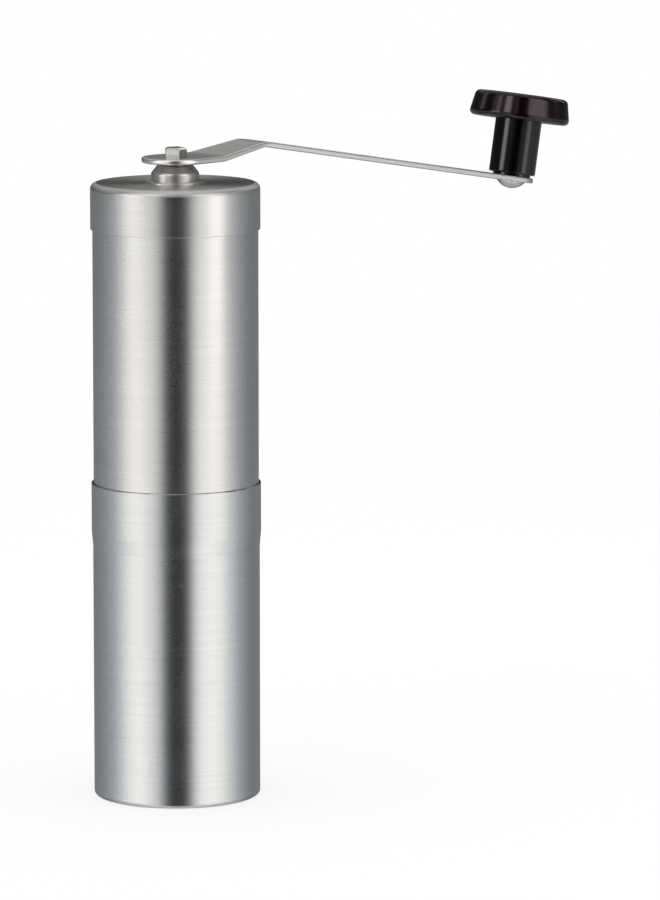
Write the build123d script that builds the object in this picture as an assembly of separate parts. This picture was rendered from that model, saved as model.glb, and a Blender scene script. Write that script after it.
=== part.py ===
from build123d import *
import math
import os

# A hand crank coffee grinder: a steel hopper tube that stands in a steel catch cup, a spun lid,
# conical burrs inside, and a bent flat crank that lifts off a five-sided drive head.
# Millimetres, +Z up. The origin is the middle of the cup's flat base, on the shaft's axis,
# and the crank points along +X.

# Hopper tube
tube_diameter = 49.0
tube_wall = 0.6
tube_length = 105.3

# Catch cup, with a widened mouth that the tube stands in
cup_height = 94.0
cup_wall = 0.5
cup_corner_radius = 1.8
mouth_depth = 18.0
mouth_clearance = 0.15
mouth_step = 0.4
mouth_step_height = 1.5
tube_seat_gap = 0.05

# Lid and the domed bush that the shaft turns in
lid_wall = 0.45
lid_skirt = 13.7
lid_corner_radius = 1.8
lid_clearance = 0.15
boss_height = 5.3
boss_base_height = 2.9
boss_base_diameter = 14.2
boss_top_diameter = 10.4
boss_round = 1.2
boss_flange_diameter = 17.6
boss_flange_thickness = 0.6
boss_neck_diameter = 12.0
boss_neck_length = 3.2
push_ring_diameter = 18.0
push_ring_thickness = 0.6

# Drive shaft and its five-sided head
shaft_diameter = 7.2
shaft_above_lid = 5.9
head_corner_diameter = 7.0
head_height = 4.5
head_chamfer = 0.6
head_sides = 5
running_clearance = 0.06
press_clearance = 0.02
face_gap = 0.1
key_across_flats = 5.6
thread_diameter = 5.0
thread_length = 14.0
thread_chamfer = 0.6

# Circlips and washers on the shaft
clip_thickness = 0.8
clip_groove_depth = 0.5
clip_diameter = 10.4
clip_mouth = 4.0
washer_thickness = 0.8
washer_diameter = 12.0

# Bearing bushes
bush_sleeve_diameter = 10.4
bush_flange_diameter = 14.0
bush_flange_thickness = 1.0

# Upper bridge, a three-armed spider in the hopper
bridge_depth_below_lid = 18.0
bridge_hub_diameter = 15.0
bridge_hub_height = 12.0
bridge_arm_width = 7.0
bridge_arm_thickness = 3.0
bridge_tab_height = 14.0
bridge_tab_width = 12.0
bridge_tab_thickness = 1.2
spider_arms = 3
first_arm_angle = 90.0

# Burr housing at the foot of the tube
housing_inset = 2.5
housing_height = 31.5
housing_wall = 2.2
housing_shoulder = 2.0
housing_funnel_height = 5.0
housing_hub_diameter = 15.0
housing_hub_height = 10.0
housing_spoke_width = 4.0
housing_spoke_height = 8.0
wall_fit_gap = 0.05

# Burrs
burr_seat_wall = 4.25
ring_burr_fit = 0.1
ring_burr_height = 12.0
ring_mouth_wall = 2.5
ring_throat_wall = 6.0
ring_exit_wall = 3.5
ring_throat_height = 7.5
ring_groove_count = 18
ring_groove_radius = 1.1
cone_gap = 0.8
cone_height = 11.5
cone_top_diameter = 18.0
cone_groove_count = 12
cone_groove_radius = 1.3
groove_skew = 18.0
spring_recess_depth = 4.0
spring_recess_diameter = 12.0

# Screws that clamp the ring burr
screw_count = 3
screw_edge = 0.15
screw_head_diameter = 4.6
screw_head_height = 1.4
screw_shank_diameter = 1.8
screw_shank_length = 8.0
screw_socket_across = 2.0
screw_socket_depth = 0.8
screw_socket_sides = 6

# Spring that presses the cone down on the adjuster
spring_wire = 1.0
spring_mean_diameter = 10.0
spring_turns = 4
spring_end_gap = 0.15
spring_steps_per_turn = 4
spring_samples_per_turn = 24

# Grind adjuster, which moves the cone up and down from the setting shown here
adjust_travel = 0.4
click_plate_diameter = 17.0
click_plate_thickness = 1.2
click_notch_count = 12
click_notch_radius = 0.7
knob_nut_diameter = 18.0
knob_nut_height = 9.0
knob_nut_lobes = 6
knob_nut_lobe_radius = 3.0
knob_nut_round = 1.0
insert_diameter = 9.0
insert_flange_diameter = 11.0
insert_flange_thickness = 0.8

# Crank, a bent flat bar
crank_length = 132.5
crank_thickness = 1.6
crank_hub_diameter = 19.8
crank_bar_width = 13.4
crank_ramp_start = 12.0
crank_peak = 29.5
crank_rise = 3.2
crank_droop = 9.7
crank_bend_radius = 9.0
crank_edge_round = 0.5
crank_waist_round = 40.0
crank_seat_gap = 0.05
eye_clearance = 0.12

# Crank knob and the headed pin that it turns on
pin_diameter = 5.0
pin_head_diameter = 8.8
pin_head_height = 2.2
knob_washer_thickness = 0.6
knob_washer_diameter = 11.6
stem_diameter = 14.3
stem_length = 16.6
stem_round = 0.5
spigot_diameter = 10.6
spigot_height = 3.2
cap_bottom_diameter = 31.4
cap_top_diameter = 28.4
cap_height = 7.9
cap_bottom_round = 1.5
cap_top_round = 1.7
pin_clip_diameter = 8.0
pin_clip_thickness = 0.8
cap_cavity_clearance = 0.4

# Radii and heights that follow from the sizes above
tube_radius = tube_diameter / 2
tube_bore_radius = tube_radius - tube_wall
mouth_radius = tube_radius + mouth_clearance
mouth_floor = cup_height - mouth_depth
tube_bottom = mouth_floor + tube_seat_gap
tube_top = tube_bottom + tube_length
lid_underside = tube_top + lid_corner_radius - lid_wall
lid_top = lid_underside + lid_wall
lid_radius = tube_radius + lid_clearance + lid_wall
shaft_radius = shaft_diameter / 2
shaft_bore_radius = shaft_radius + running_clearance
shoulder_height = lid_top + shaft_above_lid
housing_bottom = tube_bottom + housing_inset
housing_radius = tube_bore_radius - wall_fit_gap
housing_top = housing_bottom + housing_height
housing_hub_bottom = housing_top - housing_hub_height - bush_flange_thickness
housing_hub_top = housing_hub_bottom + housing_hub_height
burr_seat_radius = housing_radius - burr_seat_wall
ring_burr_radius = burr_seat_radius - ring_burr_fit
ring_mouth_radius = ring_burr_radius - ring_mouth_wall
ring_throat_radius = ring_burr_radius - ring_throat_wall
ring_exit_radius = ring_burr_radius - ring_exit_wall
screw_circle_radius = housing_radius - screw_edge - screw_head_diameter / 2
bush_radius = bush_sleeve_diameter / 2
bush_seat_radius = bush_radius + press_clearance
bridge_top = lid_top - bridge_depth_below_lid
bridge_hub_bottom = bridge_top - bridge_hub_height
cone_bottom = housing_bottom
cone_top = cone_bottom + cone_height
spring_seat = cone_top - spring_recess_depth
click_plate_top = cone_bottom
nut_top = click_plate_top - click_plate_thickness - face_gap
thread_top = nut_top + adjust_travel + face_gap
thread_bottom = thread_top - thread_length


def turned(points, rounds=None):
    """A solid of revolution about Z from a closed outline of (radius, height) points.

    rounds gives the corner radius at the points that have one, by place in the list.
    """
    rounds = rounds or {}
    corners = [(radius, 0, height) for radius, height in points]
    radii = [rounds.get(place, 0) for place in range(len(points))]
    outline = FilletPolyline(*corners, radius=radii, close=True)
    return revolve(make_face(outline), Axis.Z)


def ring(outer_radius, inner_radius, bottom, height):
    """A plain ring that stands on the height given."""
    return turned(
        [
            (inner_radius, bottom),
            (outer_radius, bottom),
            (outer_radius, bottom + height),
            (inner_radius, bottom + height),
        ]
    )


def rod(radius, bottom, height):
    """A plain round bar on the Z axis."""
    return Pos(0, 0, bottom) * extrude(Circle(radius), height)


def around(shape, count, first_angle=0.0):
    """Copies of a shape spread evenly about Z."""
    return [Rot(0, 0, first_angle + 360 / count * place) * shape for place in range(count)]


def double_flat(radius, across, bottom, height):
    """A round bar with two flats, square to X."""
    section = Circle(radius) & Rectangle(across, 2 * radius)
    return Pos(0, 0, bottom) * extrude(section, height)


def split_ring(outer_radius, inner_radius, bottom, height, mouth):
    """A circlip with its mouth on the -X side."""
    gap_box = Pos(-outer_radius / 2, 0, bottom + height / 2) * Box(outer_radius, mouth, 2 * height)
    return ring(outer_radius, inner_radius, bottom, height) - gap_box


def catch_cup():
    body_radius = mouth_radius - mouth_step + cup_wall
    mouth_outer = mouth_radius + cup_wall
    step_bottom = mouth_floor - mouth_step_height
    points = [
        (0, 0),
        (body_radius, 0),
        (body_radius, step_bottom),
        (mouth_outer, mouth_floor),
        (mouth_outer, cup_height),
        (mouth_radius, cup_height),
        (mouth_radius, mouth_floor),
        (body_radius - cup_wall, step_bottom),
        (body_radius - cup_wall, cup_wall),
        (0, cup_wall),
    ]
    return turned(points, {1: cup_corner_radius, 8: cup_corner_radius - cup_wall})


def hopper_tube():
    return ring(tube_radius, tube_bore_radius, tube_bottom, tube_length)


def lid():
    inner_radius = lid_radius - lid_wall
    hole_radius = boss_neck_diameter / 2 + press_clearance
    points = [
        (hole_radius, lid_underside),
        (inner_radius, lid_underside),
        (inner_radius, lid_top - lid_skirt),
        (lid_radius, lid_top - lid_skirt),
        (lid_radius, lid_top),
        (hole_radius, lid_top),
    ]
    return turned(points, {1: lid_corner_radius - lid_wall, 4: lid_corner_radius})


def lid_bush():
    flange_top = lid_top + boss_flange_thickness
    points = [
        (shaft_bore_radius, lid_underside - boss_neck_length),
        (boss_neck_diameter / 2, lid_underside - boss_neck_length),
        (boss_neck_diameter / 2, lid_top),
        (boss_flange_diameter / 2, lid_top),
        (boss_flange_diameter / 2, flange_top),
        (boss_base_diameter / 2, flange_top),
        (boss_base_diameter / 2, lid_top + boss_base_height),
        (boss_top_diameter / 2, lid_top + boss_height),
        (shaft_bore_radius, lid_top + boss_height),
    ]
    return turned(points, {4: boss_flange_thickness / 2, 6: boss_round, 7: boss_round})


def lid_push_ring():
    bore_radius = boss_neck_diameter / 2 + press_clearance
    bottom = lid_underside - push_ring_thickness
    return ring(push_ring_diameter / 2, bore_radius, bottom, push_ring_thickness)


def spider_arm(length, width, bottom, height):
    """One arm along +X, from the axis out to the length given."""
    return Pos(length / 2, 0, bottom + height / 2) * Box(length, width, height)


def bridge():
    hub = rod(bridge_hub_diameter / 2, bridge_hub_bottom, bridge_hub_height)
    tab_radius = tube_bore_radius - wall_fit_gap
    arm_bottom = bridge_top - bridge_arm_thickness
    arm = spider_arm(tab_radius, bridge_arm_width, arm_bottom, bridge_arm_thickness)
    tab_bottom = bridge_top - bridge_tab_height
    tab = ring(tab_radius, tab_radius - bridge_tab_thickness, tab_bottom, bridge_tab_height)
    tab &= spider_arm(2 * tab_radius, bridge_tab_width, tab_bottom, bridge_tab_height)
    inside = rod(tab_radius, tab_bottom, bridge_tab_height)
    body = hub + around((arm & inside) + tab, spider_arms, first_arm_angle)
    return body - rod(bush_seat_radius, bridge_hub_bottom, bridge_hub_height)


def bush(sleeve_bottom, sleeve_height, flange_bottom):
    """A bearing bush with a flange at one end of its sleeve."""
    sleeve = ring(bush_radius, shaft_bore_radius, sleeve_bottom, sleeve_height)
    flange = ring(bush_flange_diameter / 2, shaft_bore_radius, flange_bottom, bush_flange_thickness)
    return sleeve + flange


def bridge_bush():
    return bush(bridge_hub_bottom, bridge_hub_height, bridge_hub_bottom - bush_flange_thickness)


def housing_bush():
    return bush(housing_hub_bottom, housing_hub_height, housing_hub_top)


# Places of the washers and circlips that hold the shaft between the two bushes
upper_washer_bottom = bridge_hub_bottom - bush_flange_thickness - face_gap - washer_thickness
upper_clip_bottom = upper_washer_bottom - face_gap - clip_thickness
lower_washer_bottom = housing_hub_top + bush_flange_thickness + face_gap
lower_clip_bottom = lower_washer_bottom + washer_thickness + face_gap
spring_washer_bottom = housing_hub_bottom - face_gap - washer_thickness


def shaft_washer(bottom):
    return ring(washer_diameter / 2, shaft_bore_radius, bottom, washer_thickness)


def shaft_circlip(bottom):
    inner_radius = shaft_radius - clip_groove_depth + press_clearance
    return split_ring(clip_diameter / 2, inner_radius, bottom, clip_thickness, clip_mouth)


def head_outline(corner_radius):
    """The five-sided drive outline, with one flat facing along the crank."""
    return RegularPolygon(corner_radius, head_sides, rotation=180 / head_sides)


def drive_shaft():
    key_top = housing_hub_bottom
    bar = rod(shaft_radius, key_top, shoulder_height - key_top)
    key = double_flat(shaft_radius, key_across_flats, thread_top, key_top - thread_top)
    thread = rod(thread_diameter / 2, thread_bottom, thread_length)
    thread = chamfer(thread.edges().sort_by(Axis.Z)[0], thread_chamfer)
    head = Pos(0, 0, shoulder_height) * extrude(head_outline(head_corner_diameter / 2), head_height)
    head = chamfer(head.faces().sort_by(Axis.Z)[-1].edges(), head_chamfer)
    groove_radius = shaft_radius - clip_groove_depth
    body = bar + key + thread + head
    for bottom in (upper_clip_bottom, lower_clip_bottom):
        body -= ring(shaft_diameter, groove_radius, bottom - face_gap / 2, clip_thickness + face_gap)
    return body


def burr_housing():
    outer = housing_radius
    inner = outer - housing_wall
    seat_top = housing_bottom + ring_burr_height + face_gap
    shoulder_top = seat_top + housing_shoulder
    wall = turned(
        [
            (burr_seat_radius, housing_bottom),
            (outer, housing_bottom),
            (outer, housing_top),
            (inner, housing_top),
            (inner, shoulder_top + housing_funnel_height),
            (ring_mouth_radius, shoulder_top),
            (ring_mouth_radius, seat_top),
            (burr_seat_radius, seat_top),
        ]
    )
    hub = rod(housing_hub_diameter / 2, housing_hub_bottom, housing_hub_height)
    spoke_bottom = housing_hub_top - housing_spoke_height
    spoke = spider_arm(outer - housing_wall / 2, housing_spoke_width, spoke_bottom, housing_spoke_height)
    body = wall + hub + around(spoke, spider_arms, first_arm_angle)
    body -= rod(bush_seat_radius, housing_hub_bottom, housing_hub_height)
    pilot = Pos(screw_circle_radius, 0, 0) * rod(
        screw_shank_diameter / 2 + press_clearance, housing_bottom, screw_shank_length + face_gap
    )
    return body - around(pilot, screw_count, first_arm_angle)


def burr_groove(groove_radius, low_radius, low_height, high_radius, high_height):
    """A round cutter that lies along a burr's cone, skewed about the radius through its middle."""
    low = Vector(low_radius, 0, low_height)
    high = Vector(high_radius, 0, high_height)
    slant = high - low
    middle = (low + high) / 2
    outward = Vector(slant.Z, 0, -slant.X).normalized()
    plane = Plane(origin=middle, x_dir=outward, z_dir=slant.normalized())
    length = 2 * slant.length
    cutter = Cylinder(groove_radius, length)
    return plane * (Rot(groove_skew, 0, 0) * cutter)


def ring_burr():
    bottom = housing_bottom
    throat = bottom + ring_throat_height
    top = bottom + ring_burr_height
    body = turned(
        [
            (ring_exit_radius, bottom),
            (ring_burr_radius, bottom),
            (ring_burr_radius, top),
            (ring_mouth_radius, top),
            (ring_throat_radius, throat),
        ]
    )
    cutter = burr_groove(ring_groove_radius, ring_exit_radius, bottom, ring_throat_radius, throat)
    return body - around(cutter, ring_groove_count)


def inner_burr():
    exit_radius = ring_exit_radius - cone_gap
    throat_radius = ring_throat_radius - cone_gap
    throat = cone_bottom + ring_throat_height
    body = turned(
        [
            (0, cone_bottom),
            (exit_radius, cone_bottom),
            (throat_radius, throat),
            (cone_top_diameter / 2, cone_top),
            (0, cone_top),
        ]
    )
    cutter = burr_groove(cone_groove_radius, exit_radius, cone_bottom, throat_radius, throat)
    body -= around(cutter, cone_groove_count)
    body -= rod(spring_recess_diameter / 2, spring_seat, spring_recess_depth)
    return body - key_bore(cone_bottom, cone_height)


def key_bore(bottom, height):
    """The two-flat bore that slides on the shaft's key."""
    return double_flat(shaft_bore_radius, key_across_flats + 2 * running_clearance, bottom, height)


def burr_screws():
    shank = rod(screw_shank_diameter / 2, housing_bottom, screw_shank_length)
    head = rod(screw_head_diameter / 2, housing_bottom - screw_head_height, screw_head_height)
    socket = Pos(0, 0, housing_bottom - screw_head_height) * extrude(
        RegularPolygon(screw_socket_across / 2, screw_socket_sides, major_radius=False), screw_socket_depth
    )
    screw = Pos(screw_circle_radius, 0, 0) * (shank + head - socket)
    return Compound(children=around(screw, screw_count, first_arm_angle))


def biarc(start, start_direction, end, end_direction):
    """Two tangent arcs that leave and arrive along the directions given."""
    chord = end - start
    turn = start_direction + end_direction
    square = turn.dot(turn) - 4
    slope = chord.dot(turn)
    reach = (slope - math.sqrt(slope * slope - square * chord.dot(chord))) / square
    first_corner = start + start_direction * reach
    second_corner = end - end_direction * reach
    joint = (first_corner + second_corner) / 2
    return [
        TangentArc(start, joint, tangent=start_direction),
        TangentArc(joint, end, tangent=second_corner - first_corner),
    ]


spring_bottom = spring_seat + spring_end_gap
spring_top = spring_washer_bottom - spring_end_gap
spring_pitch = (spring_top - spring_bottom - spring_wire) / spring_turns


def spring_point(step):
    """A point on the spring's helix and its direction there, counted in steps of a turn."""
    angle = 2 * math.pi * step / spring_steps_per_turn
    radius = spring_mean_diameter / 2
    height = spring_bottom + spring_wire / 2 + spring_pitch * step / spring_steps_per_turn
    point = Vector(radius * math.cos(angle), radius * math.sin(angle), height)
    climb = spring_pitch / (2 * math.pi)
    direction = Vector(-radius * math.sin(angle), radius * math.cos(angle), climb).normalized()
    return point, direction


def burr_spring():
    arcs = []
    for step in range(spring_turns * spring_steps_per_turn):
        arcs += biarc(*spring_point(step), *spring_point(step + 1))
    start, direction = spring_point(0)
    section = Plane(origin=start, z_dir=direction) * Circle(spring_wire / 2)
    return sweep(section, path=Wire(arcs))


def print_spring_gap():
    """Measure the least gap between neighbouring turns on points along the helix."""
    samples = spring_samples_per_turn
    steps = [place / samples * spring_steps_per_turn for place in range(spring_turns * samples + 1)]
    points = [spring_point(step)[0] for step in steps]
    least = min(
        (first - second).length
        for place, first in enumerate(points)
        for second in points[place + samples // 2 :]
    )
    print(f"spring: {spring_turns} turns, least gap {least - spring_wire:.2f} mm")


def click_plate():
    body = rod(click_plate_diameter / 2, click_plate_top - click_plate_thickness, click_plate_thickness)
    notch = Pos(click_plate_diameter / 2, 0, 0) * rod(
        click_notch_radius, click_plate_top - click_plate_thickness, click_plate_thickness
    )
    body -= around(notch, click_notch_count)
    return body - key_bore(click_plate_top - click_plate_thickness, click_plate_thickness)


def adjust_nut():
    nut_bottom = nut_top - knob_nut_height
    lobe = Pos(knob_nut_diameter / 2, 0) * Circle(knob_nut_lobe_radius)
    section = Circle(knob_nut_diameter / 2) + around(lobe, knob_nut_lobes)
    body = Pos(0, 0, nut_bottom) * extrude(section, knob_nut_height)
    body = fillet(body.faces().sort_by(Axis.Z)[0].edges(), knob_nut_round)
    body -= rod(insert_diameter / 2 + press_clearance, nut_bottom, knob_nut_height)
    flange_radius = insert_flange_diameter / 2 + press_clearance
    return body - rod(flange_radius, nut_top - insert_flange_thickness, insert_flange_thickness)


def adjust_insert():
    nut_bottom = nut_top - knob_nut_height
    bore_radius = thread_diameter / 2 + running_clearance
    sleeve = ring(insert_diameter / 2, bore_radius, nut_bottom, knob_nut_height)
    flange_bottom = nut_top - insert_flange_thickness
    return sleeve + ring(insert_flange_diameter / 2, bore_radius, flange_bottom, insert_flange_thickness)


# The crank is made with the middle of its hub at the origin, and lifted to its seat on the shaft at the end
crank_seat = shoulder_height + crank_seat_gap
hub_middle = crank_seat + crank_thickness / 2
droop = math.radians(crank_droop)
bar_radius = crank_bar_width / 2
knob_drop = (crank_length - crank_peak) * math.tan(droop)
pin_height = hub_middle + crank_rise - knob_drop


def side_line(offset):
    """The bent bar's line as seen from the side, moved along its own normal by the offset."""
    run_end = crank_length + crank_bar_width
    places = [
        Vector(-crank_hub_diameter, 0),
        Vector(crank_ramp_start, 0),
        Vector(crank_peak, crank_rise),
        Vector(run_end, crank_rise - (run_end - crank_peak) * math.tan(droop)),
    ]
    headings = [math.atan2((b - a).Y, (b - a).X) for a, b in zip(places, places[1:])]
    moved = [places[0] + Vector(0, offset)]
    for place, before, after in zip(places[1:], headings, headings[1:]):
        normal_angle = (before + after) / 2 + math.pi / 2
        reach = offset / math.cos((after - before) / 2)
        moved.append(place + Vector(math.cos(normal_angle), math.sin(normal_angle)) * reach)
    last_normal = headings[-1] + math.pi / 2
    moved.append(places[-1] + Vector(math.cos(last_normal), math.sin(last_normal)) * offset)
    return [(point.X, 0, point.Y) for point in moved]


def crank_arm():
    half = crank_thickness / 2
    upper = side_line(half)
    lower = side_line(-half)
    inside = crank_bend_radius - half
    outside = crank_bend_radius + half
    radii = [0, inside, outside, 0, 0, inside, outside, 0]
    side = make_face(FilletPolyline(*upper, *reversed(lower), radius=radii, close=True))
    hub_radius = crank_hub_diameter / 2
    bar = extrude(side, hub_radius + crank_thickness, both=True)
    waist_corner = Vector(crank_peak, bar_radius)
    lean = math.atan2(bar_radius, crank_peak) + math.acos(hub_radius / waist_corner.length)
    tangent_x = hub_radius * math.cos(lean)
    tangent_y = hub_radius * math.sin(lean)
    taper = Polygon(
        (tangent_x, -tangent_y),
        (crank_peak, -bar_radius),
        (crank_length, -bar_radius),
        (crank_length, bar_radius),
        (crank_peak, bar_radius),
        (tangent_x, tangent_y),
        align=None,
    )
    waist = [corner for corner in taper.vertices() if abs(corner.X - crank_peak) < crank_thickness]
    taper = fillet(waist, crank_waist_round)
    plan = taper + Circle(hub_radius) + Pos(crank_length, 0) * Circle(bar_radius)
    arm = bar & extrude(plan, crank_length, both=True)
    walls = [face for face in arm.faces() if abs(face.normal_at().Z) < math.sin(droop) / 2]
    wall_edges = [edge for wall in walls for edge in wall.edges()]
    rims = [edge for edge in wall_edges if abs(edge.tangent_at(0.5).Z) < math.cos(droop) / 2]
    arm = fillet(rims, crank_edge_round)
    eye = head_outline(head_corner_diameter / 2 + eye_clearance)
    arm -= extrude(eye, 2 * crank_thickness, both=True)
    pin_hole = rod(pin_diameter / 2 + press_clearance, -crank_thickness, 2 * crank_thickness)
    return Pos(0, 0, hub_middle) * arm - at_knob(pin_hole)


def at_knob(shape):
    """Move a shape that was made upright on the origin to the crank's end, square to the bar."""
    return Pos(crank_length, 0, pin_height) * Rot(0, crank_droop, 0) * shape


# Heights along the knob's own axis, from the middle of the bar
bar_face = crank_thickness / 2
stem_bottom = bar_face + knob_washer_thickness + face_gap
stem_top = stem_bottom + stem_length
cap_top = stem_top + cap_height
spigot_top = stem_top + spigot_height
pin_clip_bottom = spigot_top + face_gap
pin_top = pin_clip_bottom + pin_clip_thickness + face_gap


def knob_pin():
    shank = rod(pin_diameter / 2, -bar_face, pin_top + bar_face)
    rise = pin_head_height
    half_width = pin_head_diameter / 2
    dome_radius = (half_width * half_width + rise * rise) / (2 * rise)
    dome = Pos(0, 0, -bar_face - rise + dome_radius) * Sphere(dome_radius)
    head = dome & rod(half_width, -bar_face - rise, rise)
    groove_radius = pin_diameter / 2 - clip_groove_depth
    groove = ring(pin_diameter, groove_radius, pin_clip_bottom - face_gap / 2, pin_clip_thickness + face_gap)
    return at_knob(shank + head - groove)


def knob_washer():
    bore_radius = pin_diameter / 2 + running_clearance
    return at_knob(ring(knob_washer_diameter / 2, bore_radius, bar_face, knob_washer_thickness))


def knob_pin_clip():
    inner_radius = pin_diameter / 2 - clip_groove_depth + press_clearance
    mouth = pin_diameter - 2 * clip_groove_depth
    clip = split_ring(pin_clip_diameter / 2, inner_radius, pin_clip_bottom, pin_clip_thickness, mouth)
    return at_knob(clip)


def knob_stem():
    bore_radius = pin_diameter / 2 + running_clearance
    points = [
        (bore_radius, stem_bottom),
        (stem_diameter / 2, stem_bottom),
        (stem_diameter / 2, stem_top),
        (spigot_diameter / 2, stem_top),
        (spigot_diameter / 2, spigot_top),
        (bore_radius, spigot_top),
    ]
    return at_knob(turned(points, {1: stem_round}))


def knob_cap():
    points = [
        (0, stem_top),
        (cap_bottom_diameter / 2, stem_top),
        (cap_top_diameter / 2, cap_top),
        (0, cap_top),
    ]
    body = turned(points, {1: cap_bottom_round, 2: cap_top_round})
    body -= rod(spigot_diameter / 2 + press_clearance, stem_top, spigot_height + face_gap)
    cavity_radius = pin_clip_diameter / 2 + cap_cavity_clearance
    cavity_height = pin_top - stem_top + cap_cavity_clearance
    return at_knob(body - rod(cavity_radius, stem_top, cavity_height))


pieces = {
    "catch_cup": catch_cup(),
    "hopper_tube": hopper_tube(),
    "bridge": bridge(),
    "bridge_bush": bridge_bush(),
    "burr_housing": burr_housing(),
    "housing_bush": housing_bush(),
    "ring_burr": ring_burr(),
    "burr_screws": burr_screws(),
    "lid": lid(),
    "lid_bush": lid_bush(),
    "lid_push_ring": lid_push_ring(),
    "drive_shaft": drive_shaft(),
    "upper_washer": shaft_washer(upper_washer_bottom),
    "upper_circlip": shaft_circlip(upper_clip_bottom),
    "lower_washer": shaft_washer(lower_washer_bottom),
    "lower_circlip": shaft_circlip(lower_clip_bottom),
    "spring_washer": shaft_washer(spring_washer_bottom),
    "burr_spring": burr_spring(),
    "inner_burr": inner_burr(),
    "click_plate": click_plate(),
    "adjust_nut": adjust_nut(),
    "adjust_insert": adjust_insert(),
    "crank_arm": crank_arm(),
    "knob_pin": knob_pin(),
    "knob_washer": knob_washer(),
    "knob_pin_clip": knob_pin_clip(),
    "knob_stem": knob_stem(),
    "knob_cap": knob_cap(),
}

print_spring_gap()
os.makedirs("parts", exist_ok=True)
for name, shape in pieces.items():
    export_step(shape, f"parts/{name}.step")
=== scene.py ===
import math

import bmesh
import bpy
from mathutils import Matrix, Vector


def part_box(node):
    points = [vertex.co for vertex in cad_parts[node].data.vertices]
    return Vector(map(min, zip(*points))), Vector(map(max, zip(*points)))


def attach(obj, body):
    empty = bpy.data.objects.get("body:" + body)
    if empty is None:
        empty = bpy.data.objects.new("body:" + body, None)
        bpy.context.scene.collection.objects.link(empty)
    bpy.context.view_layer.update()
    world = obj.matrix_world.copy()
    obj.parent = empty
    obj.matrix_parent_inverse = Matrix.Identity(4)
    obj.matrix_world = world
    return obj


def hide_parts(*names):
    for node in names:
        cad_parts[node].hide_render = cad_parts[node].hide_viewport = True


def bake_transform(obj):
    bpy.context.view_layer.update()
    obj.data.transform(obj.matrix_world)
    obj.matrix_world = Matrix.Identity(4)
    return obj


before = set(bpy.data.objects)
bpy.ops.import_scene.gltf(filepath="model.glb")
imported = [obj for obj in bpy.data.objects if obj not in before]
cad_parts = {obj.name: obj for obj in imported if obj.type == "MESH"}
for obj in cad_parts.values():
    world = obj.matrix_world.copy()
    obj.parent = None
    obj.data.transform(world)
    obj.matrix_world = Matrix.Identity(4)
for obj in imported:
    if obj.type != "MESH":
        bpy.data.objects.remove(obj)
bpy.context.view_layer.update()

# Catch cup
# The lower half of the body, which the ground coffee falls into. It is deep drawn from thin stainless
# sheet, its mouth is stretched to take the tube, and its outside is brushed while it turns.
cup_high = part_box("catch_cup")[1]
cup_wall = 0.0005
cup_corner = 0.0012
cup_mouth_depth = 0.018
cup_step = 0.0004
cup_step_height = 0.0015
cup_taper_top = 0.0035
cup_taper_bottom = 0.001
cup_rim_round = 0.0002
cup_step_round = 0.0008
cup_base_dish = 0.0006
cup_base_foot = 0.0025
cup_base_slope = 0.0024
cup_dark = (0.568, 0.575, 0.58, 1.0)
cup_light = (0.608, 0.615, 0.62, 1.0)
body_roughness = 0.27

arc_steps = 6
turn_steps = 224
hold_gap = 0.00012
axis_reach = 1e-7


def rounded_outline(points, rounds):
    """A closed outline of (radius, height) points, whose corners named in rounds become arcs.

    A holding point stands at each end of an arc, so that the shading of the arc stays out of the flats.
    """
    outline = []
    for place, point in enumerate(points):
        corner = Vector(point)
        size = rounds.get(place)
        if not size:
            outline.append(corner)
            continue
        back = (Vector(points[place - 1]) - corner).normalized()
        onward = (Vector(points[(place + 1) % len(points)]) - corner).normalized()
        half_angle = back.angle(onward) / 2
        reach = size / math.tan(half_angle)
        middle = corner + (back + onward).normalized() * size / math.sin(half_angle)
        start = corner + back * reach - middle
        end = corner + onward * reach - middle
        start_angle = math.atan2(start.y, start.x)
        sweep = math.remainder(math.atan2(end.y, end.x) - start_angle, 2 * math.pi)
        outline.append(corner + back * (reach + hold_gap))
        for step in range(arc_steps + 1):
            angle = start_angle + sweep * step / arc_steps
            outline.append(middle + Vector((math.cos(angle), math.sin(angle))) * size)
        outline.append(corner + onward * (reach + hold_gap))
    return outline


def finished_piece(name, shape, material, sharp_degrees=30.0):
    """An object from a bmesh, shaded smooth apart from its sharp edges."""
    mesh = bpy.data.meshes.new(name)
    shape.to_mesh(mesh)
    shape.free()
    mesh.polygons.foreach_set("use_smooth", [True] * len(mesh.polygons))
    mesh.set_sharp_from_angle(angle=math.radians(sharp_degrees))
    mesh.materials.append(material)
    piece = bpy.data.objects.new(name, mesh)
    bpy.context.collection.objects.link(piece)
    return piece


def ring_of_points(shape, sides, radius, height):
    """New points of a bmesh on a level circle, anticlockwise from above."""
    angles = [2 * math.pi * step / sides for step in range(sides)]
    return [shape.verts.new((radius * math.cos(a), radius * math.sin(a), height)) for a in angles]


def turned_shape(points, rounds=None):
    """A bmesh of a solid of revolution, from an outline that runs anticlockwise."""
    shape = bmesh.new()
    rings = []
    for radius, height in rounded_outline(points, rounds or {}):
        if radius < axis_reach:
            rings.append([shape.verts.new((0, 0, height))])
        else:
            rings.append(ring_of_points(shape, turn_steps, radius, height))
    for ring, following in zip(rings, rings[1:] + rings[:1]):
        for step in range(turn_steps):
            after = (step + 1) % turn_steps
            corners = [
                ring[step % len(ring)],
                ring[after % len(ring)],
                following[after % len(following)],
                following[step % len(following)],
            ]
            corners = list(dict.fromkeys(corners))
            if len(corners) > 2:
                shape.faces.new(corners)
    return shape


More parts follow.
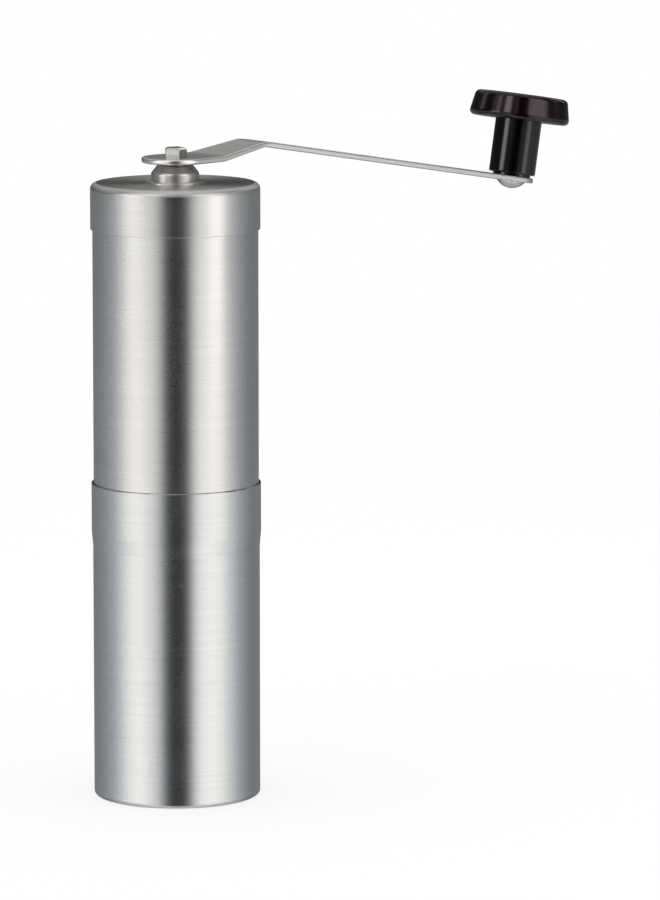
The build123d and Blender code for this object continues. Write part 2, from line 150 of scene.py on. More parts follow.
def new_group(name, inputs, outputs):
    """An empty shader node group with named sockets, and its two ends."""
    group = bpy.data.node_groups.new(name, "ShaderNodeTree")
    for socket, value in inputs.items():
        entry = group.interface.new_socket(socket, in_out="INPUT", socket_type="NodeSocketFloat")
        entry.default_value = value
    for socket in outputs:
        group.interface.new_socket(socket, in_out="OUTPUT", socket_type="NodeSocketFloat")
    return group, group.nodes.new("NodeGroupInput"), group.nodes.new("NodeGroupOutput")


def math_node(tree, operation, *values):
    """A math node whose inputs are sockets or plain numbers. Returns its output."""
    node = tree.nodes.new("ShaderNodeMath")
    node.operation = operation
    for socket, value in zip(node.inputs, values):
        if isinstance(value, bpy.types.NodeSocket):
            tree.links.new(value, socket)
        else:
            socket.default_value = value
    return node.outputs[0]


def noise_node(tree, vector, scale, detail):
    """A noise texture on the vector given. Returns its value, from 0 to 1."""
    noise = tree.nodes.new("ShaderNodeTexNoise")
    noise.inputs["Scale"].default_value = scale
    noise.inputs["Detail"].default_value = detail
    tree.links.new(vector, noise.inputs["Vector"])
    return noise.outputs["Fac"]


def ramp_node(tree, value, low, high, start=0.0, end=1.0):
    """Take a value's range from low to high to the range from start to end, with soft ends."""
    node = tree.nodes.new("ShaderNodeMapRange")
    node.interpolation_type = "SMOOTHSTEP"
    node.inputs["From Min"].default_value = low
    node.inputs["From Max"].default_value = high
    node.inputs["To Min"].default_value = start
    node.inputs["To Max"].default_value = end
    tree.links.new(value, node.inputs["Value"])
    return node.outputs["Result"]


fine_share = 0.6
broad_share = 0.4
broad_scale = 0.17
middle_tone = 0.5
smudges_per_metre = 55.0


def brushing_group(name, turned):
    """Brush lines, either round the upright axis or along the crank, with faint handling smudges."""
    group, entry, result = new_group(
        name,
        {
            "Lines per metre": 2200.0,
            "Run per metre": 12.0,
            "Roughness": 0.4,
            "Line spread": 0.015,
            "Smudge spread": 0.012,
        },
        ["Tone", "Roughness", "Height"],
    )
    place = group.nodes.new("ShaderNodeTexCoord").outputs["Object"]
    parts = group.nodes.new("ShaderNodeSeparateXYZ")
    group.links.new(place, parts.inputs[0])
    along_x, along_y, along_z = parts.outputs
    run = entry.outputs["Run per metre"]
    lines = entry.outputs["Lines per metre"]
    if turned:
        square_x = math_node(group, "MULTIPLY", along_x, along_x)
        square_y = math_node(group, "MULTIPLY", along_y, along_y)
        radius = math_node(group, "SQRT", math_node(group, "ADD", square_x, square_y))
        across = math_node(group, "SUBTRACT", radius, along_z)
        spread = [(along_x, run), (along_y, run), (across, lines)]
    else:
        spread = [(along_x, run), (along_y, lines), (along_z, run)]
    stretched = group.nodes.new("ShaderNodeCombineXYZ")
    for (distance, density), socket in zip(spread, stretched.inputs):
        group.links.new(math_node(group, "MULTIPLY", distance, density), socket)
    fine = noise_node(group, stretched.outputs[0], scale=1.0, detail=3.0)
    broad = noise_node(group, stretched.outputs[0], scale=broad_scale, detail=2.0)
    smudge = ramp_node(group, noise_node(group, place, smudges_per_metre, detail=3.0), low=0.42, high=0.72)
    fine_part = math_node(group, "MULTIPLY", fine, fine_share)
    broad_part = math_node(group, "MULTIPLY", broad, broad_share)
    tone = math_node(group, "ADD", fine_part, broad_part)
    group.links.new(ramp_node(group, tone, low=0.3, high=0.7), result.inputs["Tone"])
    centred = math_node(group, "SUBTRACT", tone, middle_tone)
    line_part = math_node(group, "MULTIPLY", centred, entry.outputs["Line spread"])
    smudge_part = math_node(group, "MULTIPLY", smudge, entry.outputs["Smudge spread"])
    change = math_node(group, "ADD", line_part, smudge_part)
    group.links.new(math_node(group, "ADD", entry.outputs["Roughness"], change), result.inputs["Roughness"])
    group.links.new(fine, result.inputs["Height"])
    return group


turned_brushing = brushing_group("turned_brushing", True)


def principled(name):
    """A new node material. Returns it, its tree and its shader."""
    material = bpy.data.materials.new(name)
    material.use_nodes = True
    return material, material.node_tree, material.node_tree.nodes["Principled BSDF"]


def mixed_colour(tree, factor, first, second):
    """Blend two colours by a factor. Returns the colour."""
    mix = tree.nodes.new("ShaderNodeMix")
    mix.data_type = "RGBA"
    colour_sockets = [socket for socket in mix.inputs if socket.type == "RGBA"]
    colour_sockets[0].default_value = first
    colour_sockets[1].default_value = second
    tree.links.new(factor, mix.inputs["Factor"])
    return [socket for socket in mix.outputs if socket.type == "RGBA"][0]


def bump_node(tree, shader, height, depth, strength):
    """Feed a height to a shader's normal."""
    bump = tree.nodes.new("ShaderNodeBump")
    bump.inputs["Strength"].default_value = strength
    bump.inputs["Distance"].default_value = depth
    tree.links.new(height, bump.inputs["Height"])
    tree.links.new(bump.outputs["Normal"], shader.inputs["Normal"])


line_depth = 0.00004
line_bump = 0.005


def brushed_steel(name, brushing, dark, light, roughness):
    """Metal with brush lines in its colour, its gloss and its surface."""
    material, tree, shader = principled(name)
    lines = tree.nodes.new("ShaderNodeGroup")
    lines.node_tree = brushing
    lines.inputs["Roughness"].default_value = roughness
    tree.links.new(mixed_colour(tree, lines.outputs["Tone"], dark, light), shader.inputs["Base Color"])
    tree.links.new(lines.outputs["Roughness"], shader.inputs["Roughness"])
    bump_node(tree, shader, lines.outputs["Height"], line_depth, line_bump)
    shader.inputs["Metallic"].default_value = 1.0
    return material


cup_steel = brushed_steel("cup_steel", turned_brushing, cup_dark, cup_light, body_roughness)
cup_mouth_outer = cup_high.x
cup_mouth_inner = cup_mouth_outer - cup_wall
cup_outer = cup_mouth_outer - cup_step
cup_inner = cup_outer - cup_wall
cup_mouth_floor = cup_high.z - cup_mouth_depth
cup_step_bottom = cup_mouth_floor - cup_step_height
cup_foot = cup_outer - cup_base_foot
cup_floor = cup_base_dish + cup_wall
catch_cup = finished_piece("cup_body", turned_shape(
    [
        (0, cup_base_dish),
        (cup_foot - cup_base_slope, cup_base_dish),
        (cup_foot, 0),
        (cup_outer, 0),
        (cup_outer, cup_mouth_floor - cup_taper_bottom),
        (cup_mouth_outer, cup_mouth_floor + cup_taper_top),
        (cup_mouth_outer, cup_high.z),
        (cup_mouth_inner, cup_high.z),
        (cup_mouth_inner, cup_mouth_floor),
        (cup_inner, cup_step_bottom),
        (cup_inner, cup_floor),
        (0, cup_floor),
    ],
    {
        1: cup_step_round,
        2: cup_step_round,
        3: cup_corner,
        4: cup_step_round,
        5: cup_step_round,
        6: cup_rim_round,
        7: cup_rim_round,
        10: cup_corner - cup_wall,
    },
), cup_steel)
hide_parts("catch_cup")
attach(catch_cup, "cup")

# Hopper tube
# The upper half of the body, which holds the beans. It is a length of thin stainless tube, its ends
# cut square and eased, brushed like the cup but a shade warmer. It carries the insides.
tube_low, tube_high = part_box("hopper_tube")
tube_wall = 0.0006
tube_edge_round = 0.0002
steel_dark = (0.58, 0.575, 0.565, 1.0)
steel_light = (0.62, 0.615, 0.605, 1.0)
tube_steel = brushed_steel("tube_steel", turned_brushing, steel_dark, steel_light, body_roughness)
tube_inner = tube_high.x - tube_wall
tube_outline = [
    (tube_inner, tube_low.z),
    (tube_high.x, tube_low.z),
    (tube_high.x, tube_high.z),
    (tube_inner, tube_high.z),
]
tube_rounds = dict.fromkeys(range(len(tube_outline)), tube_edge_round)
hopper_tube = finished_piece("tube_body", turned_shape(tube_outline, tube_rounds), tube_steel)
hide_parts("hopper_tube")
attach(hopper_tube, "housing")

# Bridge and its bush
# A three-armed spider pressed from steel, which sits near the top of the hopper and steadies the
# shaft. A nylon bush is pushed up into its hub.
nylon_dark = (0.60, 0.57, 0.50, 1.0)
nylon_light = (0.70, 0.67, 0.60, 1.0)
clouds_per_metre = 140.0
rubs_per_metre = 70.0


def moulded_group():
    """The skin of a moulded piece: cloudy colour, a fine grain and faint rubbed patches."""
    group, entry, result = new_group(
        "moulded_skin",
        {"Grain per metre": 3000.0, "Roughness": 0.4, "Rub spread": 0.1},
        ["Cloud", "Roughness", "Height"],
    )
    place = group.nodes.new("ShaderNodeTexCoord").outputs["Object"]
    cloud = ramp_node(group, noise_node(group, place, clouds_per_metre, detail=4.0), low=0.35, high=0.65)
    group.links.new(cloud, result.inputs["Cloud"])
    rubbed = ramp_node(group, noise_node(group, place, rubs_per_metre, detail=3.0), low=0.5, high=0.75)
    rubbed = math_node(group, "MULTIPLY", rubbed, entry.outputs["Rub spread"])
    group.links.new(math_node(group, "ADD", entry.outputs["Roughness"], rubbed), result.inputs["Roughness"])
    scaled = group.nodes.new("ShaderNodeVectorMath")
    scaled.operation = "SCALE"
    group.links.new(place, scaled.inputs[0])
    group.links.new(entry.outputs["Grain per metre"], scaled.inputs["Scale"])
    grain = noise_node(group, scaled.outputs["Vector"], scale=1.0, detail=2.0)
    group.links.new(grain, result.inputs["Height"])
    return group


moulded_skin = moulded_group()
grain_depth = 0.00003


def moulded_plastic(name, dark, light, roughness, grain_bump=0.1, rub_spread=0.1):
    """A moulded or fired material with a cloudy colour and a fine grain."""
    material, tree, shader = principled(name)
    skin = tree.nodes.new("ShaderNodeGroup")
    skin.node_tree = moulded_skin
    skin.inputs["Roughness"].default_value = roughness
    skin.inputs["Rub spread"].default_value = rub_spread
    tree.links.new(mixed_colour(tree, skin.outputs["Cloud"], dark, light), shader.inputs["Base Color"])
    tree.links.new(skin.outputs["Roughness"], shader.inputs["Roughness"])
    bump_node(tree, shader, skin.outputs["Height"], grain_depth, grain_bump)
    return material


def dress(material, *nodes):
    """Give CAD nodes a material."""
    for node in nodes:
        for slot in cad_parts[node].material_slots:
            slot.material = material


bridge_steel = brushed_steel("bridge_steel", turned_brushing, steel_dark, steel_light, roughness=0.38)
bush_nylon = moulded_plastic("bush_nylon", nylon_dark, nylon_light, roughness=0.45)
dress(bridge_steel, "bridge")
dress(bush_nylon, "bridge_bush")

# Burr housing and its bush
# The carrier at the foot of the tube, moulded in dark plastic, with a funnel above the burrs and
# three spokes to a hub that holds the lower nylon bush.
housing_dark = (0.020, 0.020, 0.021, 1.0)
housing_light = (0.034, 0.034, 0.035, 1.0)
housing_plastic = moulded_plastic(
    "housing_plastic", housing_dark, housing_light, roughness=0.5, grain_bump=0.25
)
dress(housing_plastic, "burr_housing")
dress(bush_nylon, "housing_bush")

# Burrs
# The ring burr is clamped in the housing, and the cone turns inside it. Both are pressed and fired
# in pale ceramic, with coarse grooves that break the beans.
ceramic_dark = (0.62, 0.60, 0.55, 1.0)
ceramic_light = (0.74, 0.72, 0.67, 1.0)
burr_ceramic = moulded_plastic("burr_ceramic", ceramic_dark, ceramic_light, roughness=0.55, grain_bump=0.3)
dress(burr_ceramic, "ring_burr", "inner_burr")

# Burr screws
# Three socket-head screws, driven up into the housing, whose heads clamp the ring burr. One screw is
# drawn, and a node tree repeats it round the screw circle.
screws_low, screws_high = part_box("burr_screws")
screw_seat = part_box("burr_housing")[0].z
screw_count = 3
first_screw_angle = math.radians(90.0)
screw_head_radius = 0.0023
screw_shank_radius = 0.0009
screw_edge_round = 0.0003
screw_sides = 36
socket_sides = 6
socket_across_flats = 0.002
socket_radius = socket_across_flats / 2 / math.cos(math.pi / socket_sides)
socket_depth = 0.0008
screw_circle = screws_high.y - screw_head_radius
screw_steel = brushed_steel("screw_steel", turned_brushing, steel_dark, steel_light, roughness=0.3)


def unit_screw():
    """One screw on the upright axis, head down, with a six-sided socket in its head."""
    shape = bmesh.new()
    outline = [
        (screw_head_radius - screw_edge_round, screws_low.z),
        (screw_head_radius, screws_low.z + screw_edge_round),
        (screw_head_radius, screw_seat),
        (screw_shank_radius, screw_seat),
        (screw_shank_radius, screws_high.z),
    ]
    rings = [ring_of_points(shape, screw_sides, radius, height) for radius, height in outline]
    for ring, following in zip(rings, rings[1:]):
        for step in range(screw_sides):
            after = (step + 1) % screw_sides
            shape.faces.new([ring[step], ring[after], following[after], following[step]])
    shape.faces.new(rings[-1])
    mouth = ring_of_points(shape, socket_sides, socket_radius, screws_low.z)
    depth = ring_of_points(shape, socket_sides, socket_radius, screws_low.z + socket_depth)
    shape.faces.new(list(reversed(depth)))
    rim_share = screw_sides // socket_sides
    for step in range(socket_sides):
        after = (step + 1) % socket_sides
        shape.faces.new([mouth[after], mouth[step], depth[step], depth[after]])
        rim = [rings[0][(step * rim_share + place) % screw_sides] for place in range(rim_share + 1)]
        shape.faces.new([mouth[step], mouth[after]] + list(reversed(rim)))
    return shape


def repeat_tree():
    """A node tree that repeats the geometry given on the points of a level circle."""
    tree = bpy.data.node_groups.new("repeat_round_circle", "GeometryNodeTree")
    for socket, kind in {
        "Geometry": "NodeSocketGeometry",
        "Count": "NodeSocketInt",
        "Circle radius": "NodeSocketFloat",
        "First angle": "NodeSocketFloat",
        "Material": "NodeSocketMaterial",
    }.items():
        tree.interface.new_socket(socket, in_out="INPUT", socket_type=kind)
    tree.interface.new_socket("Geometry", in_out="OUTPUT", socket_type="NodeSocketGeometry")
    entry = tree.nodes.new("NodeGroupInput")
    result = tree.nodes.new("NodeGroupOutput")
    circle = tree.nodes.new("GeometryNodeMeshCircle")
    turn = tree.nodes.new("ShaderNodeCombineXYZ")
    turned = tree.nodes.new("GeometryNodeTransform")
    repeat = tree.nodes.new("GeometryNodeInstanceOnPoints")
    real = tree.nodes.new("GeometryNodeRealizeInstances")
    dressed = tree.nodes.new("GeometryNodeSetMaterial")
    for source, target in [
        (entry.outputs["Count"], circle.inputs["Vertices"]),
        (entry.outputs["Circle radius"], circle.inputs["Radius"]),
        (entry.outputs["First angle"], turn.inputs["Z"]),
        (circle.outputs["Mesh"], turned.inputs["Geometry"]),
        (turn.outputs["Vector"], turned.inputs["Rotation"]),
        (turned.outputs["Geometry"], repeat.inputs["Points"]),
        (entry.outputs["Geometry"], repeat.inputs["Instance"]),
        (repeat.outputs["Instances"], real.inputs["Geometry"]),
        (real.outputs["Geometry"], dressed.inputs["Geometry"]),
        (entry.outputs["Material"], dressed.inputs["Material"]),
        (dressed.outputs["Geometry"], result.inputs["Geometry"]),
    ]:
        tree.links.new(source, target)
    return tree


def repeated_piece(name, unit, tree, values):
    """Run a node tree on a unit piece, and keep its result as a plain mesh."""
    modifier = unit.modifiers.new("repeat", "NODES")
    modifier.node_group = tree
    for item in tree.interface.items_tree:
        if item.name in values:
            modifier[item.identifier] = values[item.name]
    evaluated = unit.evaluated_get(bpy.context.evaluated_depsgraph_get())
    mesh = bpy.data.meshes.new_from_object(evaluated)
    unit.modifiers.remove(modifier)
    mesh.name = name
    unit.data = mesh
    unit.name = name
    return unit


screw_unit = finished_piece("screw_unit", unit_screw(), screw_steel)
screws = repeated_piece("housing_screws", screw_unit, repeat_tree(), {
    "Count": screw_count,
    "Circle radius": screw_circle,
    "First angle": first_screw_angle,
    "Material": screw_steel,
})
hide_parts("burr_screws")
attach(screws, "housing")

# Drive shaft
# A ground steel bar that carries the cone and turns in the two bushes. Its five-sided head takes
# the crank, and its foot is threaded for the adjuster.
shaft_steel = brushed_steel("shaft_steel", turned_brushing, steel_dark, steel_light, roughness=0.22)
dress(shaft_steel, "drive_shaft")

# Washers and circlips on the shaft
# Stamped from spring steel sheet. The circlips and the washers beside them keep the shaft from
# rising or dropping, and one more washer gives the spring its seat.
clip_steel = brushed_steel("clip_steel", turned_brushing, steel_dark, steel_light, roughness=0.3)
dress(clip_steel, "upper_washer", "upper_circlip", "lower_washer", "lower_circlip", "spring_washer")

# Burr spring
# A coil of spring steel round the shaft, which presses the cone down on the adjuster. Its top sits on
# the shaft and its foot on the cone, so it shortens as the cone rises; here it is drawn at one length.
merge_gap = 1e-6
spring_shape = bmesh.new()
spring_shape.from_mesh(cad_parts["burr_spring"].data)
bmesh.ops.remove_doubles(spring_shape, verts=spring_shape.verts, dist=merge_gap)
burr_spring = finished_piece("coil_spring", spring_shape, clip_steel)
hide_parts("burr_spring")
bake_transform(burr_spring)

# Grind adjuster
# A lobed plastic nut with a brass insert that runs on the shaft's thread. A notched steel plate lies
# between the nut and the cone.
brass_dark = (0.52, 0.36, 0.13, 1.0)
brass_light = (0.68, 0.50, 0.22, 1.0)
insert_brass = brushed_steel("insert_brass", turned_brushing, brass_dark, brass_light, roughness=0.32)
dress(housing_plastic, "adjust_nut")
dress(insert_brass, "adjust_insert")
dress(shaft_steel, "click_plate")

# Lid
# A shallow spun lid of stainless sheet that slips over the tube. Its top keeps the fine rings of
# the spinning tool, its rounded corner is a little duller, and its skirt is brushed like the body.
lid_low, lid_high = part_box("lid")
lid_wall = 0.00045
lid_corner = 0.0018
lid_rim_round = 0.00018
lid_hole = 0.00602
lid_top_roughness = 0.3
lid_corner_roughness = 0.42
lid_top_anisotropy = 0.7
quarter_turn = 0.25
flat_top = 0.999
corner_start = 0.05
lid_steel = brushed_steel("lid_steel", turned_brushing, steel_dark, steel_light, body_roughness)


def ringed_steel(name):
    """Steel whose gloss is drawn out across the rings of a spinning tool."""
    material = brushed_steel(name, turned_brushing, steel_dark, steel_light, lid_top_roughness)
    tree = material.node_tree
    rings = tree.nodes.new("ShaderNodeTangent")
    rings.direction_type = "RADIAL"
    rings.axis = "Z"
    shader = tree.nodes["Principled BSDF"]
    shader.inputs["Anisotropic"].default_value = lid_top_anisotropy
    shader.inputs["Anisotropic Rotation"].default_value = quarter_turn
    tree.links.new(rings.outputs["Tangent"], shader.inputs["Tangent"])
    return material


lid_inner = lid_high.x - lid_wall
lid_under = lid_high.z - lid_wall
lid = finished_piece("lid_shell", turned_shape(
    [
        (lid_hole, lid_under),
        (lid_inner, lid_under),
        (lid_inner, lid_low.z),
        (lid_high.x, lid_low.z),
        (lid_high.x, lid_high.z),
        (lid_hole, lid_high.z),
    ],
    {1: lid_corner - lid_wall, 2: lid_rim_round, 3: lid_rim_round, 4: lid_corner},
), lid_steel)
corner_steel = brushed_steel("corner_steel", turned_brushing, steel_dark, steel_light, lid_corner_roughness)
lid.data.materials.append(ringed_steel("spun_steel"))
lid.data.materials.append(corner_steel)
for face in lid.data.polygons:
    if face.normal.z > flat_top:
        face.material_index = 1
    elif face.normal.z > corner_start:
        face.material_index = 2
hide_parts("lid")
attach(lid, "lid")

# Lid bush and its push ring
# A domed bush turned from steel bar, which the shaft runs in. A push-on ring of spring steel holds
# it under the lid.
bush_steel = brushed_steel("bush_steel", turned_brushing, steel_dark, steel_light, roughness=0.36)
dress(bush_steel, "lid_bush")
dress(clip_steel, "lid_push_ring")

# Crank arm
# A flat bar of bright stainless steel, blanked, bent up and then down, and brushed along its length.
# Its eye drops on the shaft's five-sided head.
bar_dark = (0.72, 0.715, 0.705, 1.0)
bar_light = (0.78, 0.775, 0.765, 1.0)
lengthwise_brushing = brushing_group("lengthwise_brushing", False)
crank_steel = brushed_steel("crank_steel", lengthwise_brushing, bar_dark, bar_light, roughness=0.3)
dress(crank_steel, "crank_arm")

# Knob pin
# A steel pin with a low domed head under the bar's end, which the knob turns on. A circlip inside
# the cap keeps the knob on it.
dress(shaft_steel, "knob_pin")
dress(clip_steel, "knob_pin_clip")

# Knob
# A black plastic sleeve that turns on the pin, and a glossy dark red-brown cap pushed on its top.
# Both are moulded. A thin black washer parts the sleeve from the bar.
stem_dark = (0.001, 0.001, 0.001, 1.0)
stem_light = (0.002, 0.002, 0.002, 1.0)
cap_dark = (0.003, 0.0008, 0.001, 1.0)
cap_light = (0.005, 0.001, 0.0014, 1.0)
cap_gloss_tint = (1.0, 0.8, 0.9, 1.0)
stem_gloss = 0.42
knob_lean = math.radians(9.7)
knob_axis = Vector((math.sin(knob_lean), 0, math.cos(knob_lean)))
washer_rise = 0.000095
stem_plastic = moulded_plastic(
    "stem_plastic", stem_dark, stem_light, roughness=0.15, grain_bump=0.02, rub_spread=0.05
)
cap_plastic = moulded_plastic(
    "cap_plastic", cap_dark, cap_light, roughness=0.16, grain_bump=0.04, rub_spread=0.06
)
cap_plastic.node_tree.nodes["Principled BSDF"].inputs["Specular Tint"].default_value = cap_gloss_tint
stem_plastic.node_tree.nodes["Principled BSDF"].inputs["Specular IOR Level"].default_value = stem_gloss
dress(stem_plastic, "knob_stem")
# The washer is drawn up to just under the sleeve, so that no light shows between the two.
washer_shape = bmesh.new()
washer_shape.from_mesh(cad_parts["knob_washer"].data)
bmesh.ops.remove_doubles(washer_shape, verts=washer_shape.verts, dist=merge_gap)
washer_heights = {point: point.co.dot(knob_axis) for point in washer_shape.verts}
washer_middle = (min(washer_heights.values()) + max(washer_heights.values())) / 2
for point, height in washer_heights.items():
    if height > washer_middle:
        point.co += knob_axis * washer_rise
knob_washer = finished_piece("pin_washer", washer_shape, stem_plastic)
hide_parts("knob_washer")
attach(knob_washer, "crank")
dress(cap_plastic, "knob_cap")

# Camera
# It looks at the middle of the object from the photograph's side, a little downwards. Its long lens
# gives the photograph's flat perspective.
view_turn = math.radians(40.0)
view_pitch = math.radians(8.5)
look_side = 0.0456
look_height = 0.10345
camera_distance = 1.8
focal_pixels = 6072.0
image_height = 900.0
sensor_height = 24.0
far_clip = 50.0
view_right = Vector((math.cos(view_turn), -math.sin(view_turn), 0))
view_away = Vector((math.sin(view_turn), math.cos(view_turn), 0))
upwards = Vector((0, 0, 1))
forward = view_away * math.cos(view_pitch) - upwards * math.sin(view_pitch)
camera_data = bpy.data.cameras.new("photo_camera")
camera_data.sensor_fit = "VERTICAL"
camera_data.sensor_height = sensor_height
camera_data.lens = sensor_height * focal_pixels / image_height
camera_data.clip_end = far_clip
camera = bpy.data.objects.new("photo_camera", camera_data)
camera.location = view_right * look_side + upwards * look_height - forward * camera_distance
camera.rotation_euler = forward.to_track_quat("-Z", "Y").to_euler()
bpy.context.collection.objects.link(camera)
bpy.context.scene.camera = camera

# Floor
# A wide sheet of matt pale paper under the object. It keeps the object's shadow near the foot, and
# fades to white further out.
floor_radius = 9.0
floor_sides = 64
floor_dark = (0.93, 0.93, 0.93, 1.0)
floor_light = (0.96, 0.96, 0.96, 1.0)
floor_clouds_per_metre = 3.0
floor_roughness = 0.9
floor_glow = 0.72
floor_fade_start = 0.1
floor_fade_end = 1.2


def seen_rays(tree):
    """1 for the rays that show a thing straight, in gloss or through glass, and 0 for the rest."""
    path = tree.nodes.new("ShaderNodeLightPath")
    seen = math_node(tree, "MAXIMUM", path.outputs["Is Camera Ray"], path.outputs["Is Glossy Ray"])
    return math_node(tree, "MAXIMUM", seen, path.outputs["Is Transmission Ray"])


floor_paper, floor_tree, floor_shader = principled("floor_paper")
floor_place = floor_tree.nodes.new("ShaderNodeTexCoord").outputs["Object"]
floor_cloud = noise_node(floor_tree, floor_place, floor_clouds_per_metre, detail=2.0)
floor_tone = mixed_colour(floor_tree, floor_cloud, floor_dark, floor_light)
floor_tree.links.new(floor_tone, floor_shader.inputs["Base Color"])
floor_shader.inputs["Roughness"].default_value = floor_roughness
floor_shader.inputs["Specular IOR Level"].default_value = 0.0
floor_white = floor_tree.nodes.new("ShaderNodeEmission")
floor_mix = floor_tree.nodes.new("ShaderNodeMixShader")
floor_reach = floor_tree.nodes.new("ShaderNodeVectorMath")
floor_reach.operation = "LENGTH"
floor_tree.links.new(floor_place, floor_reach.inputs[0])
floor_level = ramp_node(
    floor_tree, floor_reach.outputs["Value"], floor_fade_start, floor_fade_end, start=floor_glow, end=1.0
)
floor_share = math_node(floor_tree, "MULTIPLY", seen_rays(floor_tree), floor_level)
floor_tree.links.new(floor_share, floor_mix.inputs["Fac"])
floor_tree.links.new(floor_shader.outputs[0], floor_mix.inputs[1])
floor_tree.links.new(floor_white.outputs[0], floor_mix.inputs[2])
floor_tree.links.new(floor_mix.outputs[0], floor_tree.nodes["Material Output"].inputs["Surface"])
floor_shape = bmesh.new()
bmesh.ops.create_circle(floor_shape, cap_ends=True, segments=floor_sides, radius=floor_radius)
floor = finished_piece("floor", floor_shape, floor_paper)
floor.visible_glossy = False

# Studio walls
# A round tent of white cloth that only the gloss of the object shows. It is dark behind the camera,
# bright on both sides of it, dimmer at the back, and hung with softboxes and a few dark cloths.
wall_radius = 2.4
wall_bottom = -2.2
wall_top = 3.2
wall_middle = 0.1
wall_turn = 3.0
curve_top = 1.5
# Brightness by the angle from the camera's side, in degrees
angle_curve = [
    (0, 0), (10, 0), (15, 0.14), (19, 0.55), (25, 1.08), (31, 1.32), (38, 1.4), (46, 1.4), (56, 1.3),
    (64, 1.14), (72, 0.98), (80, 0.84), (90, 0.67), (100, 0.53), (114, 0.4), (126, 0.33), (140, 0.27),
    (180, 0.24),
]
# Share of that brightness by elevation, in degrees
elevation_curve = [
    (-90, 0.45), (-36, 0.45), (-26, 1.1), (-4, 1.1), (-0.5, 0.34), (7, 0.28), (14, 0.13), (90, 0.13),
]
# Each softbox: its middle angle, half width and softness, its middle elevation, half height and
# softness, all in degrees, and its brightness
softboxes = [
    (59, 11, 4, -0.5, 3, 1.5, 2.5),
    (-60, 11, 4, 10, 6, 2, 4.8),
    (48.6, 23, 2, 26, 15, 3, 2.0),
    (-30, 8.5, 2, 34, 14, 2, 3.6),
    (-56.6, 5, 2, 34, 14, 2, 2.0),
    (-70, 5, 2, 34, 14, 2, 0.6),
    (-110, 6, 2, 34, 14, 2, 0.9),
    (-6.8, 4, 2, 28, 14, 2, 0.6),
    (102, 4, 2, 26, 15, 3, 0.9),
    (140, 5, 2, 26, 15, 3, 0.9),
    (-68, 14, 8, -10, 8, 3, 0.22),
]
# The same values for the cloths that hang at the back, above and below
softboxes += [
    (180, 60, 30, 36, 15, 7, 0.5),
    (-180, 60, 30, 36, 15, 7, 0.5),
    (0, 190, 1, 52.3, 1, 0.4, 0.7),
    (0, 190, 1, -50, 12, 4, 0.5),
]
# The same values for the dark cloths that hang low, which take light away
softboxes += [
    (-27, 14, 9, -17, 9, 5, -0.5),
    (54, 9, 4, -6.5, 2.5, 1.5, -0.4),
    (112, 24, 12, -18, 12, 7, -0.11),
]
wall_cool = (0.90, 0.95, 1.0, 1.0)
wall_warm = (1.0, 0.98, 0.945, 1.0)
# The brightness, and the elevation in degrees, at which the light starts to turn warm and is warm
warm_brightness = (0.7, 1.3)
warm_elevation = (8.0, 18.0)


def dot_product(tree, vector, direction):
    """How far a vector reaches along a direction."""
    node = tree.nodes.new("ShaderNodeVectorMath")
    node.operation = "DOT_PRODUCT"
    node.inputs[1].default_value = direction
    tree.links.new(vector, node.inputs[0])
    return node.outputs["Value"]


def curve_node(tree, value, low, high, points):
    """A smooth curve through the points given, for values from low to high."""
    node = tree.nodes.new("ShaderNodeFloatCurve")
    places = [((x - low) / (high - low), y / curve_top) for x, y in points]
    marks = node.mapping.curves[0].points
    marks[0].location = places[0]
    marks[1].location = places[-1]
    for place in places[1:-1]:
        marks.new(*place)
    node.mapping.update()
    share = math_node(tree, "DIVIDE", math_node(tree, "SUBTRACT", value, low), high - low)
    tree.links.new(share, node.inputs["Value"])
    return math_node(tree, "MULTIPLY", node.outputs["Value"], curve_top)


def soft_band(tree, value, middle, half, soft):
    """1 within half of the middle, falling softly to 0."""
    away = math_node(tree, "ABSOLUTE", math_node(tree, "SUBTRACT", value, middle))
    return ramp_node(tree, away, low=half - soft, high=half + soft, start=1.0, end=0.0)


wall_cloth = bpy.data.materials.new("wall_cloth")
wall_cloth.use_nodes = True
wall_tree = wall_cloth.node_tree
wall_tree.nodes.clear()
wall_place = wall_tree.nodes.new("ShaderNodeTexCoord").outputs["Object"]
wall_side = dot_product(wall_tree, wall_place, view_right)
wall_near = dot_product(wall_tree, wall_place, -view_away)
wall_angle = math_node(wall_tree, "DEGREES", math_node(wall_tree, "ARCTAN2", wall_side, wall_near))
wall_height = dot_product(wall_tree, wall_place, upwards)
wall_rise = math_node(wall_tree, "SUBTRACT", wall_height, wall_middle)
wall_elevation = math_node(wall_tree, "DEGREES", math_node(wall_tree, "ARCTAN2", wall_rise, wall_radius))
angle_away = math_node(wall_tree, "ABSOLUTE", math_node(wall_tree, "SUBTRACT", wall_angle, wall_turn))
angle_light = curve_node(wall_tree, angle_away, 0.0, 180.0, angle_curve)
elevation_share = curve_node(wall_tree, wall_elevation, -90.0, 90.0, elevation_curve)
wall_light = math_node(wall_tree, "MULTIPLY", angle_light, elevation_share)
for angle, half_width, side_fade, elevation, half_height, end_fade, brightness in softboxes:
    width_band = soft_band(wall_tree, wall_angle, angle, half_width, side_fade)
    height_band = soft_band(wall_tree, wall_elevation, elevation, half_height, end_fade)
    softbox = math_node(wall_tree, "MULTIPLY", width_band, height_band)
    softbox = math_node(wall_tree, "MULTIPLY", softbox, brightness)
    wall_light = math_node(wall_tree, "ADD", wall_light, softbox)
wall_light = math_node(wall_tree, "MAXIMUM", wall_light, 0.0)
bright_share = ramp_node(wall_tree, wall_light, *warm_brightness)
high_share = ramp_node(wall_tree, wall_elevation, *warm_elevation)
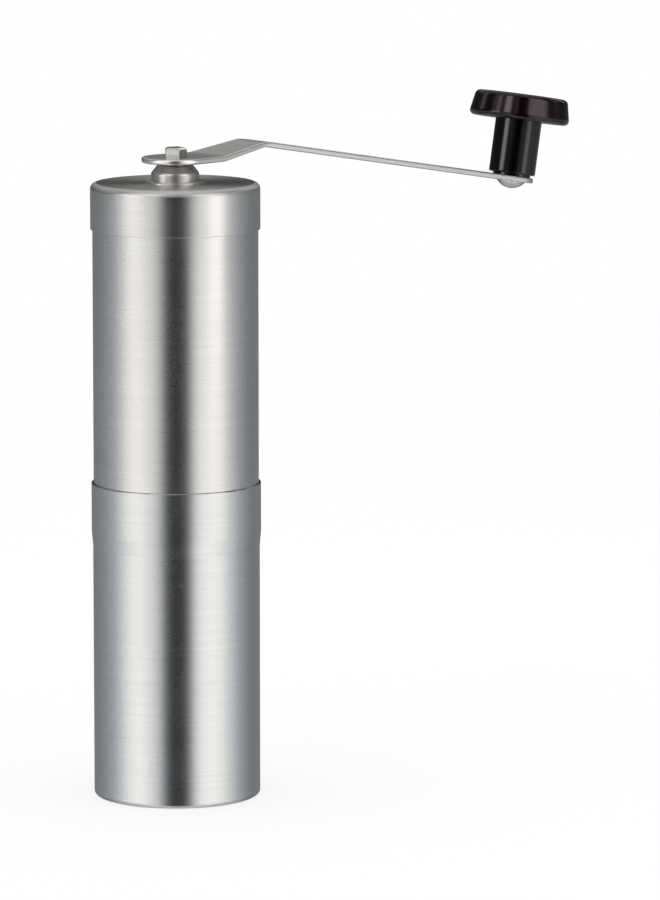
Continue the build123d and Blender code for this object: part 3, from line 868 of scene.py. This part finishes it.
warm_share = math_node(wall_tree, "MAXIMUM", bright_share, high_share)
wall_emission = wall_tree.nodes.new("ShaderNodeEmission")
wall_tree.links.new(wall_light, wall_emission.inputs["Strength"])
wall_tree.links.new(mixed_colour(wall_tree, warm_share, wall_cool, wall_warm), wall_emission.inputs["Color"])
wall_output = wall_tree.nodes.new("ShaderNodeOutputMaterial")
wall_tree.links.new(wall_emission.outputs[0], wall_output.inputs["Surface"])
wall_shape = bmesh.new()
wall_foot = ring_of_points(wall_shape, turn_steps, wall_radius, wall_bottom)
wall_head = ring_of_points(wall_shape, turn_steps, wall_radius, wall_top)
for step in range(turn_steps):
    after = (step + 1) % turn_steps
    wall_shape.faces.new([wall_foot[after], wall_foot[step], wall_head[step], wall_head[after]])
wall_shape.faces.new(wall_foot)
wall_shape.faces.new(list(reversed(wall_head)))
walls = finished_piece("studio_walls", wall_shape, wall_cloth)
walls.visible_camera = False
walls.visible_diffuse = False
walls.visible_transmission = False
walls.visible_shadow = False

# Light
# An even white studio all round, and one large soft lamp above. The lamp's shadow grounds the object,
# and no gloss shows the lamp.
studio_level = 0.8
white_level = 1.0
studio_colour = (1.0, 1.0, 1.0, 1.0)
lamp_side = 1.6
lamp_height = 2.0
lamp_energy = 14.0
world = bpy.data.worlds.new("studio")
bpy.context.scene.world = world
world.use_nodes = True
world_tree = world.node_tree
background = world_tree.nodes["Background"]
background.inputs["Color"].default_value = studio_colour
world_extra = math_node(world_tree, "MULTIPLY", seen_rays(world_tree), white_level - studio_level)
world_level = math_node(world_tree, "ADD", world_extra, studio_level)
world_tree.links.new(world_level, background.inputs["Strength"])
lamp_data = bpy.data.lights.new("top_softbox", "AREA")
lamp_data.shape = "RECTANGLE"
lamp_data.size = lamp_side
lamp_data.size_y = lamp_side
lamp_data.energy = lamp_energy
lamp = bpy.data.objects.new("top_softbox", lamp_data)
lamp.location = (0.0, 0.0, lamp_height)
lamp.visible_glossy = False
bpy.context.collection.objects.link(lamp)
bpy.context.scene.view_settings.view_transform = "Standard"
